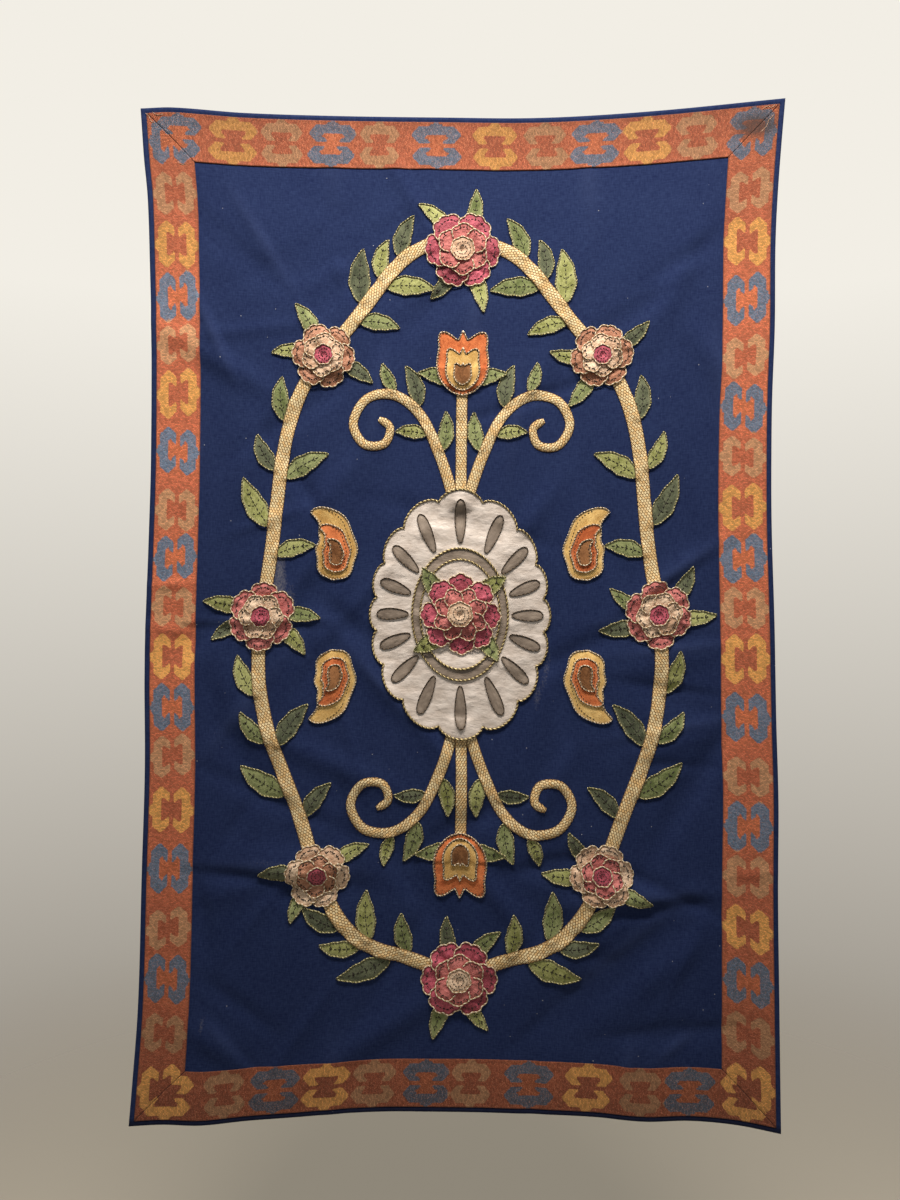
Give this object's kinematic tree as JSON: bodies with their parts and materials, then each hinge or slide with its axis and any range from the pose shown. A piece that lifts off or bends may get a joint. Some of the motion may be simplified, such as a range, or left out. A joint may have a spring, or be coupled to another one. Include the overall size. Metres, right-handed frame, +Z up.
{
  "type": "applique wall hanging",
  "caption": "Tall navy cotton wall hanging with a mitred woven border and sewn-on cloth blossoms, leaves, straw-mesh vine and a satin medallion, hung flat by its top edge.",
  "frame": {"origin": "on the back of the top edge, at its middle, where the hanging is fastened", "axes": "+Z up, +X to the viewer's right, -Y towards the viewer; the wall side is +Y"},
  "size_m": [1.025, 0.0193, 1.6165],
  "materials": {
    "navy_cotton": "plain woven navy cotton, slightly dusty",
    "woven_band": "flat-woven burnt orange strip with a repeat in slate blue, tan and yellow",
    "straw_mesh": "coarse straw-gold mesh cloth over padding",
    "light_green": "cotton with an overcast edge",
    "mid_green": "cotton with an overcast edge",
    "dark_green": "cotton with an overcast edge",
    "pink": "soft satin",
    "rose": "soft satin",
    "salmon": "soft satin",
    "cream": "soft satin",
    "grey_satin": "pale grey satin with a couched metallic cord",
    "orange_felt": "orange wool felt",
    "yellow_felt": "yellow wool felt"
  },
  "bodies": {
    "root": {"ground_cloth": "navy_cotton", "border_top": "woven_band", "border_bottom": "woven_band", "border_left": "woven_band", "border_right": "woven_band", "vine_arc_1": "straw_mesh", "vine_arc_2": "straw_mesh", "vine_arc_3": "straw_mesh", "vine_arc_4": "straw_mesh", "vine_arc_5": "straw_mesh", "vine_arc_6": "straw_mesh", "vine_arc_7": "straw_mesh", "vine_arc_8": "straw_mesh", "stalk_upper": "straw_mesh", "stalk_lower": "straw_mesh", "scroll_upper_left": "straw_mesh", "scroll_upper_right": "straw_mesh", "scroll_lower_left": "straw_mesh", "scroll_lower_right": "straw_mesh", "leaf_1": "light_green", "leaf_2": "mid_green", "leaf_3": "dark_green", "leaf_4": "light_green", "leaf_5": "mid_green", "leaf_6": "dark_green", "leaf_7": "light_green", "leaf_8": "mid_green", "leaf_9": "dark_green", "leaf_10": "light_green", "leaf_11": "mid_green", "leaf_12": "dark_green", "leaf_13": "light_green", "leaf_14": "mid_green", "leaf_15": "dark_green", "leaf_16": "light_green", "blossom_1": "rose", "blossom_2": "salmon", "blossom_3": "pink", "blossom_4": "cream", "blossom_5": "rose", "blossom_6": "cream", "blossom_7": "pink", "blossom_8": "salmon", "blossom_centre_1": "cream", "blossom_centre_2": "cream", "blossom_centre_3": "cream", "blossom_centre_4": "rose", "blossom_centre_5": "cream", "blossom_centre_6": "rose", "blossom_centre_7": "cream", "blossom_centre_8": "cream", "medallion": "grey_satin", "medallion_rose": "rose", "medallion_eye": "cream", "flower_cup_upper": "orange_felt", "flower_cup_lower": "orange_felt", "teardrop_1": "yellow_felt", "teardrop_2": "yellow_felt", "teardrop_3": "yellow_felt", "teardrop_4": "yellow_felt"}
  },
  "joints": []
}
